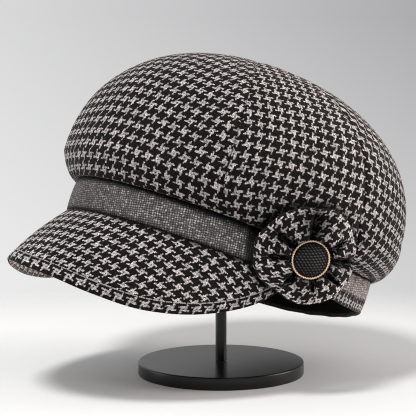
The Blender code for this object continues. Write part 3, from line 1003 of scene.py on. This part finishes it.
# The rosette: a puffed ring of cloth, gathered at its button. Its frame looks outwards, and
# directions on its face are in degrees, from the right round by the top.
rosette = {
    "centre": Vector((0.1018, -0.0120, 0.0876)),
    "azimuth": math.radians(65.0),
    "rise": math.radians(-2.0),
    "radius": 0.0318,
    "wider": 1.045,
    "longer": 0.0040,
    "longerTowards": math.radians(145.0),
    "inner": 0.0116,
    "height": 0.0066,
    "ramp": 0.30,
    "fall": 0.40,
    "floorDrop": 0.0016,
    "back": 0.0020,
    "bendStart": 0.013,
    "bendSoftness": 0.003,
    "topSlope": 0.52,
    "backSlope": 0.42,
    "around": 480,
    "rows": 60,
    "checks": 28,
    "rimStar": -0.0008,
    "shadeStart": 0.0012,
    "shadeEnd": 0.0042,
    "rowPower": 1.35,
    "rimPower": 11,
    "foldPinch": 0.045,
    "foldPinchWidth": 9.0,
    "uneven": 0.13,
    "unevenRate": 70,
    "creases": 0.09,
    "creaseRate": 9.0,
    # Dents of the outline: towards, depth, width
    "dents": [(226.0, 0.0050, 34.0), (285.0, 0.0012, 30.0)],
    # Painted shade in hollows: towards, width, reach, darkness
    "shades": [(26.0, 13.0, 0.60, 0.60), (89.0, 25.0, 1.30, 1.00), (139.0, 15.0, 0.90, 1.00),
               (172.0, 13.0, 0.80, 0.85), (221.0, 25.0, 0.60, 1.00), (250.0, 20.0, 0.36, 0.95),
               (273.0, 20.0, 0.48, 0.95), (315.0, 18.0, 0.62, 0.90), (352.0, 19.0, 1.30, 1.00)],
    # Folds: towards, depth, reach, width
    "folds": [(26.0, 0.80, 0.70, 0.24), (88.0, 1.00, 1.00, 0.34), (139.0, 1.00, 0.75, 0.36),
              (172.0, 0.80, 0.75, 0.26), (221.0, 1.00, 0.70, 0.34), (273.0, 0.90, 0.62, 0.32),
              (315.0, 1.00, 0.75, 0.30), (352.0, 1.00, 1.05, 0.36)],
}
outwards = direction(rosette["azimuth"], rosette["rise"])
rightwards = Vector((math.cos(rosette["azimuth"]), math.sin(rosette["azimuth"]), 0.0))
rosetteTurn = Matrix((rightwards, outwards.cross(rightwards), outwards)).transposed()
rosettePlace = Matrix.Translation(rosette["centre"]) @ rosetteTurn.to_4x4()
rosetteLength = rosette["checks"] * checkSize


# Degrees between a turn in radians and a direction
def degreesFrom(turn, towards):
    return abs((math.degrees(turn) - towards + 180.0) % 360.0 - 180.0)


# The ring bends back over the crown above it and round the head behind it
def rosetteBend(x, y):
    soft = rosette["bendSoftness"]
    top, back = [math.log1p(math.exp((v - rosette["bendStart"]) / soft)) for v in (y, x)]
    return soft * (rosette["topSlope"] * top - rosette["backSlope"] * back)


# How much of the puff the nearest fold leaves
def puffShare(turn, share):
    left = 1.0
    for towards, depth, reach, wide in rosette["folds"]:
        closing = max(0.0, 1 - share / reach)
        width = wide * closing ** 0.6 + 0.05
        side = min(1.0, degreesFrom(turn, towards) / 45.0 / width)
        crest = math.sin(side * math.pi / 2) ** 1.7
        left = min(left, 1 - depth * smoothStep(0.0, 0.25, closing) * (1 - crest))
    return left


def rosetteOuter(turn):
    outer = rosette["radius"] + rosette["longer"] * math.cos(turn - rosette["longerTowards"])
    for towards, depth, reach, wide in rosette["folds"]:
        near = bell(degreesFrom(turn, towards), rosette["foldPinchWidth"])
        outer *= 1 - rosette["foldPinch"] * reach ** 2 * near
    for towards, depth, width in rosette["dents"]:
        outer -= depth * bell(degreesFrom(turn, towards), width)
    return outer


# Painted shade in the folds and close beside the button
def paintedFoldShade(turn, share):
    shade = 0.85 * (1 - smoothStep(0.03, 0.16, share))
    for towards, wide, reach, dark in rosette["shades"]:
        along = min(1.0, share / reach)
        fade = 1 - smoothStep(0.55, 1.0, along)
        width = wide * (1 - 0.55 * along)
        shade = max(shade, dark * fade * bell(degreesFrom(turn, towards), width))
    return shade


# Painted shade on the cloth close round the rosette, as if in its shadow
def shadeBesideRosette(pieces):
    inwards = rosettePlace.inverted()
    for mesh in [piece.data for piece in pieces]:
        paintedShadeFac = mesh.attributes.get("foldDepth")
        paintedShadeFac = paintedShadeFac or mesh.attributes.new("foldDepth", "FLOAT", "POINT")
        for vertex, value in zip(mesh.vertices, paintedShadeFac.data):
            local = inwards @ vertex.co
            across = local.x / rosette["wider"]
            away = math.hypot(across, local.y)
            if away > 0.045 or not -0.03 < local.z < 0.02:
                continue
            past = away - rosetteOuter(math.atan2(local.y, across))
            shade = 1 - smoothStep(rosette["shadeStart"], rosette["shadeEnd"], past)
            value.value = max(value.value, shade)


# Front of the ring: the rows run from beside the button to the rim
def rosetteFront(turns, shares):
    rate, creaseRate = rosette["unevenRate"], rosette["creaseRate"]
    rows = []
    for share in shares:
        rows.append([])
        up = math.sqrt(max(0.0, 1 - (1 - min(1.0, share / rosette["ramp"])) ** 2))
        over = math.sqrt(max(0.0, 1 - share ** rosette["rimPower"]))
        fall = 1 - rosette["fall"] * smoothStep(rosette["ramp"], 1.0, share)
        for turn in turns:
            radius = rosette["inner"] + (rosetteOuter(turn) - rosette["inner"]) * share
            x, y = radius * math.cos(turn) * rosette["wider"], radius * math.sin(turn)
            crease = noise.noise(Vector((math.cos(turn) * creaseRate,
                                         math.sin(turn) * creaseRate, share * 1.2)))
            lump = noise.noise(Vector((x * rate, y * rate, 4.0)))
            uneven = 1 + rosette["uneven"] * lump + rosette["creases"] * crease
            left = puffShare(turn, share)
            z = rosette["height"] * up * over * fall * uneven * left
            rows[-1].append(Vector((x, y, z - rosette["floorDrop"] * (1 - left) * over)))
    return rows


# Stars keep their size on each puff, and the spare cloth is lost in the folds
def rosetteLay(rows):
    count = len(rows[0])
    rim = runningLengths(rows[-1] + [rows[-1][0]])
    columns = [runningLengths([row[i] for row in rows[::-1]])[::-1] for i in range(count)]
    folds = [fold[0] for fold in rosette["folds"]]
    puffs = []
    for low, high in zip(folds, folds[1:] + [folds[0] + 360.0]):
        first, last = [math.ceil(towards / 360.0 * count) for towards in (low, high)]
        puffs.append((first, last, round((low + high) / 2 / 360.0 * count)))
    cloth = []
    for j, row in enumerate(rows):
        line = [None] * count
        for first, last, middle in puffs:
            start = rim[middle % count] * rosetteLength / rim[-1]
            for step in (1, -1):
                i, length = middle, 0.0
                while first <= i < last:
                    line[i % count] = (start + step * length,
                                       columns[i % count][j] + rosette["rimStar"])
                    length += (row[(i + step) % count] - row[i % count]).length
                    i += step
        cloth.append(line)
    return cloth


def rosetteMesh():
    turns = turnsRound(rosette["around"])
    shares = [1 - (1 - s) ** rosette["rowPower"] for s in spread(0, 1, rosette["rows"])]
    rows = rosetteFront(turns, shares)
    cloth = rosetteLay(rows)
    # Painted shade: darker where a fold takes the puff away, and in the painted hollows
    depth = [max((1 - puffShare(t, s)) ** 0.8, paintedFoldShade(t, s)) for s in shares for t in turns]
    rim, rimCloth = rows[-1], cloth[-1]
    for share, drop in ((0.985, 0.35), (0.94, 0.65), (0.86, 0.85), (0.75, 0.96), (0.6, 1.0),
                        (0.3, 1.0), (0.0, 1.0)):
        line = []
        for point in rim:
            flat = Vector((point.x, point.y, 0.0))
            middle = flat.normalized() * rosette["inner"]
            inner = middle + (flat - middle) * share
            line.append(Vector((inner.x, inner.y, -rosette["back"] * drop)))
        rows.append(line)
        cloth.append([(u, v - (1 - share) * 0.02) for u, v in rimCloth])
        depth += [0.0] * len(turns)
    placed = [[rosettePlace @ Vector((p.x, p.y, p.z + rosetteBend(p.x, p.y))) for p in row]
              for row in rows]
    tips = [(k, sum(placed[k], Vector((0.0, 0.0, 0.0))) / len(turns), None) for k in (0, -1)]
    return mendMesh(sheetMesh("rosette", placed, cloth, rosetteLength, tips,
                              foldDepth=depth + [0.0, 0.0]), near=0.0)


finishPiece("rosetteCloth", rosetteMesh(), rosetteWool, "rosette")
shadeBesideRosette(crownPieces + [frontBand, backBand, peakPiece])
print("rosette made")


button = {
    "radius": 0.0104,
    "dome": 0.0030,
    "thickness": 0.0020,
    "place": (-0.0008, 0.0005, 0.0016),
    "rings": 40,
    "around": 128,
    "strand": 0.00205,
    "slant": 0.618,
    "row": 0.00169,
    "grainSize": 1 / 1600,
    # Painted shade in the gaps, painted highlight on the tops
    "gap": "#020202",
    "top": "#5e5a59",
}


# Black braided cover: small raised lozenges in slanting rows, a soft gloss on their tops
# The tops are painted grey as a highlight on the black yarn; the gaps and rim margin are painted
# shade
def buttonMaterial():
    made, add = newMaterial("blackBraidedCover")
    cloth = add("UVMap", uv_map="cloth")
    waves = []
    for across, up in ((1 / button["strand"], button["slant"] / button["strand"]),
                       (0.0, 1 / button["row"])):
        line = add("VectorMath DOT_PRODUCT", cloth, (across, up, 0.0))
        wave = add("Math SINE", add("Math MULTIPLY", line, math.pi))
        waves.append(add("Math ABSOLUTE", wave))
    bead = add("Math MULTIPLY", *waves)
    grain = add("TexNoise", cloth, 1 / button["grainSize"])
    bump = add("Bump", 1.0, 0.0009, None, add("Math MULTIPLY_ADD", grain, 0.2, bead))
    # Painted shade: the margin next to the rim is darker
    inside = add("MapRange", add("VectorMath LENGTH", cloth), 0.0100, 0.0092)
    shown = add("Math MULTIPLY", add("Math POWER", bead, 2.6), inside)
    add("OutputMaterial", add("BsdfPrincipled", inputs={
        "Base Color": add("Mix RGBA", shown, button["gap"], button["top"]),
        "Roughness": add("MapRange", shown, 0.0, 1.0, 0.60, 0.28),
        "Normal": bump, "Specular IOR Level": 0.18}))
    return made


def buttonMesh(place):
    radius, low, dome = button["radius"], button["thickness"], button["dome"]
    shares = [i / button["rings"] for i in range(1, button["rings"] + 1)]
    profile = [(radius * 0.5, 0.0), (radius, 0.0), (radius, low * 0.5)]
    profile += [(radius * s, low + dome * (1 - s ** 2)) for s in shares[::-1]]
    rows = turnedRows(profile, button["around"])
    cloth = [[(p.x, p.y) for p in row] for row in rows]
    rows = [[place @ p for p in row] for row in rows]
    top = place @ Vector((0.0, 0.0, low + dome))
    mesh = sheetMesh("button", rows, cloth, wrap=0.0, tips=[(-1, top, (0.0, 0.0))])
    return mendMesh(mesh, closeHoles)


buttonPlace = rosettePlace @ Matrix.Translation(button["place"])
finishPiece("buttonCover", buttonMesh(buttonPlace), buttonMaterial(), "button")

rope = {
    "radius": 0.0113,
    "rise": 0.0018,
    "strands": 46,
    "strandLength": 0.0025,
    "strandWidth": 0.00052,
    "lean": math.radians(32.0),
    "core": 0.00041,
    "grainSize": 0.0008,
    # Painted highlight colour, and painted shade between and beside the strands
    "gold": "#fff4d8",
    "shadow": "#b46a1e",
}


# Gold-plated brass wire: warm metal, a painted highlight facing out, painted shade on the sides
def goldMaterial():
    made, add = newMaterial("goldPlatedBrass")
    place = add("TexCoord").outputs
    grain = add("TexNoise", place["Object"], 1 / rope["grainSize"], 2.0)
    facing = add("VectorMath DOT_PRODUCT", place["Normal"], tuple(outwards))
    paintedHighlight = add("MapRange", facing, 0.72, 0.98)
    add("OutputMaterial", add("BsdfPrincipled", inputs={
        "Base Color": add("Mix RGBA", paintedHighlight, rope["shadow"], rope["gold"]), "Metallic": 0.12,
        "Roughness": add("MapRange", grain, 0.0, 1.0, 0.26, 0.40), "Specular IOR Level": 1.0}))
    return made


# Ends a geometry tree: a real, smooth mesh with its material
def closeTree(add, shape, material):
    smooth = add("SetShadeSmooth", add("RealizeInstances", shape))
    add("GroupOutput", add("SetMaterial", smooth, None, material))


# Rope rim: one strand shape repeated round a ring, each leaning over a wire core
def ropeTree(material):
    tree, add, given = newTree("ropeRim", "GeometryNodeTree", {
        "Radius": "Float", "Core": "Float", "Strands": "Int", "Length": "Float",
        "Width": "Float", "Lean": "Float"}, {"Geometry": "Geometry"})
    ring = add("CurvePrimitiveCircle", 96, given["Radius"])
    core = add("CurveToMesh", ring, add("CurvePrimitiveCircle", 8, given["Core"]))
    points = add("CurveToPoints", ring, given["Strands"])
    size = add("CombineXYZ", given["Width"], given["Width"], given["Length"])
    strand = add("Transform", add("MeshUVSphere", 8, 6, 1.0), None, None, size)
    along = add("AlignRotationToVector", None, None, points.outputs["Tangent"], axis="Z")
    upright = add("AlignRotationToVector", along, None, (0.0, 0.0, 1.0), axis="X",
                  pivot_axis="Z")
    lean = add("EulerToRotation", add("CombineXYZ", given["Lean"], 0.0, 0.0))
    leaning = add("RotateRotation", upright, lean, rotation_space="LOCAL")
    placed = add("InstanceOnPoints", points, None, strand, None, None, leaning)
    joined = add("JoinGeometry", placed)
    tree.links.new(core.outputs[0], joined.inputs[0])
    closeTree(add, joined, material)
    return tree


# Runs a geometry tree on a mesh and gives back the plain mesh that it makes
def runTree(tree, values, start=None):
    holder = addObject("holder", start or bpy.data.meshes.new("start"))
    modifier = holder.modifiers.new("make", "NODES")
    modifier.node_group = tree
    for item in tree.interface.items_tree:
        if item.in_out == "INPUT" and item.name in values:
            modifier[item.identifier] = values[item.name]
    bpy.context.view_layer.update()
    evaluated = holder.evaluated_get(bpy.context.evaluated_depsgraph_get())
    made = bpy.data.meshes.new_from_object(evaluated)
    holder.modifiers.remove(modifier)
    bpy.data.objects.remove(holder)
    return made


gold = goldMaterial()
rimMesh = runTree(ropeTree(gold), {
    "Radius": rope["radius"], "Core": rope["core"], "Strands": rope["strands"],
    "Length": rope["strandLength"] / 2, "Width": rope["strandWidth"], "Lean": rope["lean"]})
rimMesh.transform(buttonPlace @ Matrix.Translation((0.0, 0.0, rope["rise"])))
finishPiece("goldRopeRim", rimMesh, gold, "button_rim")
print("button made")


stitch = {
    "length": 0.0034,
    "gap": 0.0007,
    "thread": 0.00038,
    "rise": 0.0003,
    "twist": 0.0009,
    "shadow": "#8f8988",
    "colour": "#b9b3b1",
    "limit": 80.0,
    "steps": 460,
}


# Grey polyester sewing thread: two twisted plies with painted shade between, a slight shine
def threadMaterial():
    made, add = newMaterial("greySewingThread")
    plies = add("TexWave", add("TexCoord").outputs["Object"], 1 / stitch["twist"] / 3, 1.0,
                bands_direction="DIAGONAL")
    add("OutputMaterial", add("BsdfPrincipled", inputs={
        "Base Color": add("Mix RGBA", plies, stitch["shadow"], stitch["colour"]),
        "Roughness": 0.6, "Normal": add("Bump", 0.5, 0.0001, None, plies),
        "Sheen Weight": 0.2}))
    return made


# Stitches along a sewing line: short arched threads laid end to end
def stitchTree(material):
    tree, add, given = newTree("topStitches", "GeometryNodeTree", {
        "Line": "Geometry", "Length": "Float", "Gap": "Float", "Thread": "Float",
        "Rise": "Float"}, {"Geometry": "Geometry"})
    normal = add("InputNamedAttribute", "facing", data_type="FLOAT_VECTOR")
    spacing = add("Math ADD", given["Length"], given["Gap"])
    points = add("CurveToPoints", add("MeshToCurve", given["Line"]), spacing, mode="LENGTH")
    half = add("Math MULTIPLY", given["Length"], 0.5)
    back = add("Math MULTIPLY", half, -1.0)
    twice = add("Math MULTIPLY", given["Rise"], 2.0)
    arch = add("CurveQuadraticBezier", 5, add("CombineXYZ", back, 0.0, 0.0),
               add("CombineXYZ", 0.0, 0.0, twice), add("CombineXYZ", half, 0.0, 0.0))
    wire = add("CurvePrimitiveCircle", 6, given["Thread"])
    thread = add("CurveToMesh", arch, wire, inputs={"Fill Caps": True})
    along = add("AlignRotationToVector", None, None, points.outputs["Tangent"], axis="X")
    facing = add("AlignRotationToVector", along, None, normal, axis="Z", pivot_axis="X")
    placed = add("InstanceOnPoints", points, None, thread, None, None, facing)
    closeTree(add, placed, material)
    return tree


# The sewing line lies in the peak's groove, with the face's normal at each point
def stitchLine():
    steps = stitch["steps"]
    points, normals = [], []
    for angle in spread(-stitch["limit"], stitch["limit"], steps):
        length = (peakPoint(angle, 1.0) - peakPoint(angle, 0.0)).length
        share = 1 - min(peak["strip"], length * 0.8) / length
        normals.append(peakNormal(angle, share))
        points.append(peakPoint(angle, share) - normals[-1] * (peak["grooveDepth"] - 0.0001))
    mesh = bpy.data.meshes.new("stitchLine")
    mesh.from_pydata([tuple(p) for p in points], [(i, i + 1) for i in range(steps)], [])
    facing = mesh.attributes.new("facing", "FLOAT_VECTOR", "POINT")
    for item, normal in zip(facing.data, normals):
        item.vector = normal
    return mesh


sewing = threadMaterial()
stitchMesh = runTree(stitchTree(sewing), {
    "Length": stitch["length"], "Gap": stitch["gap"], "Thread": stitch["thread"],
    "Rise": stitch["rise"]}, stitchLine())
finishPiece("peakTopstitches", stitchMesh, sewing, None)
print("stitches made")


stand = {
    "baseRadius": 0.052,
    "baseThickness": 0.008,
    "edge": 0.0008,
    "around": 192,
    "peelSize": 0.0007,
    "hazeSize": 0.03,
    "dark": "#0a0a0a",
    "pale": "#0f0e0e",
}


# Powder-coated steel: satin black with a very fine orange-peel grain
def paintMaterial():
    made, add = newMaterial("satinBlackPowderCoat")
    place = add("TexCoord").outputs["Object"]
    peel = add("TexNoise", place, 1 / stand["peelSize"], 2.0)
    haze = add("TexNoise", place, 1 / stand["hazeSize"], 3.0)
    add("OutputMaterial", add("BsdfPrincipled", inputs={
        "Base Color": add("Mix RGBA", peel, stand["dark"], stand["pale"]),
        "Roughness": add("MapRange", haze, 0.0, 1.0, 0.27, 0.29),
        "Normal": add("Bump", 0.06, 0.00008, None, peel), "Specular IOR Level": 0.34}))
    return made


def baseMesh():
    radius, height, edge = stand["baseRadius"], stand["baseThickness"], stand["edge"]
    profile = [(radius * 0.3, 0.0), (radius - edge, 0.0)]
    profile += cornerPoints(radius - edge, edge, edge, -90)
    profile += cornerPoints(radius - edge, height - edge, edge, 0)
    profile += [(radius - 2 * edge, height), (radius * 0.6, height)]
    top = Vector((0.0, 0.0, height))
    rows = turnedRows(profile, stand["around"])
    return mendMesh(sheetMesh("standBase", rows, wrap=0.0, tips=[(-1, top, None)]), closeHoles)


# The post keeps its CAD shape, welded and shaded smooth
def postMesh():
    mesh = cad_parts["stand_post"].data.copy()
    mesh.name = "standPost"
    mendMesh(mesh, near=0.00001)
    stored = mesh.attributes.get("custom_normal")
    if stored:
        mesh.attributes.remove(stored)
    mesh.shade_smooth()
    mesh.set_sharp_from_angle(angle=math.radians(35.0))
    return mesh


paint = paintMaterial()
finishPiece("standBaseDisc", baseMesh(), paint, "stand_base")
finishPiece("standPostAndPad", postMesh(), paint, "stand_post")
print("stand made")


# White floor that fades out between two distances, and a backdrop with four corner greys
studio = {
    "floorRadius": 1.2,
    "fadeStart": 0.20,
    "fadeEnd": 0.34,
    # The floor's colour, and the painted shade it goes to towards the back
    "floor": "#f8f8f7",
    "floorBack": "#d8d8d8",
    "lowLeft": "#ebebeb",
    "lowRight": "#d2d2d3",
    "highLeft": "#d8d8d9",
    "highRight": "#adadaf",
    "behind": 0.40,
}

# The camera's place, and where its target lies in the picture, in pixels
view = {
    "azimuth": math.radians(52.0),
    "elevation": math.radians(8.9),
    "distance": 1.8,
    "target": Vector((0.0, 0.0, 0.100)),
    "focal": 1.605 * 1800,
    "targetAcross": 221.0,
    "targetDown": 216.0,
    "frame": 416.0,
    "sensor": 36.0,
}


# Matt white paper floor that fades softly into the backdrop; painted shade darkens it behind
def floorMaterial():
    made, add = newMaterial("whitePaperFloor")
    place = add("TexCoord").outputs["Object"]
    away = add("VectorMath LENGTH", add("VectorMath MULTIPLY", place, (1.0, 1.0, 0.0)))
    fade = add("MapRange", away, studio["fadeStart"], studio["fadeEnd"],
               interpolation_type="SMOOTHSTEP")
    paintedShadeBackwards = add("MapRange", add("SeparateXYZ", place).outputs[1], -0.12, 0.24)
    paper = add("BsdfPrincipled", inputs={
        "Base Color": add("Mix RGBA", paintedShadeBackwards, studio["floor"], studio["floorBack"]),
        "Roughness": 0.7, "Specular IOR Level": 0.2})
    add("OutputMaterial", add("MixShader", fade, paper, add("BsdfTransparent")))
    return made


def buildFloor():
    ring = turnedRows([(studio["floorRadius"], 0.0)], 96)[0]
    mesh = bpy.data.meshes.new("studioFloor")
    mesh.from_pydata([tuple(p) for p in ring], [], [list(range(len(ring)))])
    mesh.materials.append(floorMaterial())
    addObject("studioFloor", mesh)


# Grey backdrop: lighter towards the horizon and to the left, darker above right and behind
# the camera. It is read by direction, along the camera's right and upwards.
def buildWorld():
    world = bpy.data.worlds.new("softStudio")
    world.use_nodes = True
    world.node_tree.nodes.clear()
    add = partial(addNode, world.node_tree)
    ray = add("TexCoord").outputs["Generated"]
    rightward = (math.cos(view["azimuth"]), math.sin(view["azimuth"]), 0.0)
    across = add("VectorMath DOT_PRODUCT", ray, rightward)
    ahead = add("VectorMath DOT_PRODUCT", ray, tuple(-direction(view["azimuth"])))
    side = add("MapRange", across, -0.075, 0.067)
    rise = add("MapRange", add("SeparateXYZ", ray).outputs[2], -0.175, -0.086)
    low = add("Mix RGBA", side, studio["lowLeft"], studio["lowRight"])
    high = add("Mix RGBA", side, studio["highLeft"], studio["highRight"])
    strength = add("MapRange", ahead, -0.7, 0.4, studio["behind"])
    add("OutputWorld", add("Background", add("Mix RGBA", rise, low, high), strength))
    bpy.context.scene.world = world


def addLamp(name, place, target, size, power, colour="#ffffff"):
    lamp = bpy.data.lights.new(name, "AREA")
    lamp.shape = "DISK"
    lamp.size = size
    lamp.energy = power
    lamp.color = linear(colour)[:3]
    holder = addObject(name, lamp)
    holder.location = place
    holder.rotation_euler = (Vector(target) - Vector(place)).to_track_quat("-Z", "Y").to_euler()


def buildCamera():
    back = direction(view["azimuth"], view["elevation"])
    camera = bpy.data.cameras.new("camera")
    camera.sensor_width = view["sensor"]
    camera.lens = view["focal"] / view["frame"] * view["sensor"]
    camera.shift_x = -(view["targetAcross"] - view["frame"] / 2) / view["frame"]
    camera.shift_y = (view["targetDown"] - view["frame"] / 2) / view["frame"]
    holder = addObject("camera", camera)
    holder.location = view["target"] + back * view["distance"]
    holder.rotation_euler = (-back).to_track_quat("-Z", "Y").to_euler()
    bpy.context.scene.camera = holder


buildFloor()
buildWorld()
addLamp("overheadSoftbox", (1.12, -2.22, 4.5), (0.0, 0.0, 0.1), 1.10, 163.0)
addLamp("rightSoftbox", (0.85, 1.25, 0.55), (0.0, 0.0, 0.12), 1.1, 22.0, "#fffaf5")
addLamp("nearSoftbox", (1.35, -0.35, 1.15), (0.0, 0.0, 0.09), 0.8, 2.6)
addLamp("lowFill", (-0.55, -0.65, 0.03), (0.0, -0.12, 0.09), 0.3, 1.3)
buildCamera()
bpy.context.scene.view_settings.view_transform = "Standard"
bpy.context.scene.cycles.filter_width = 1.1
print("studio made")
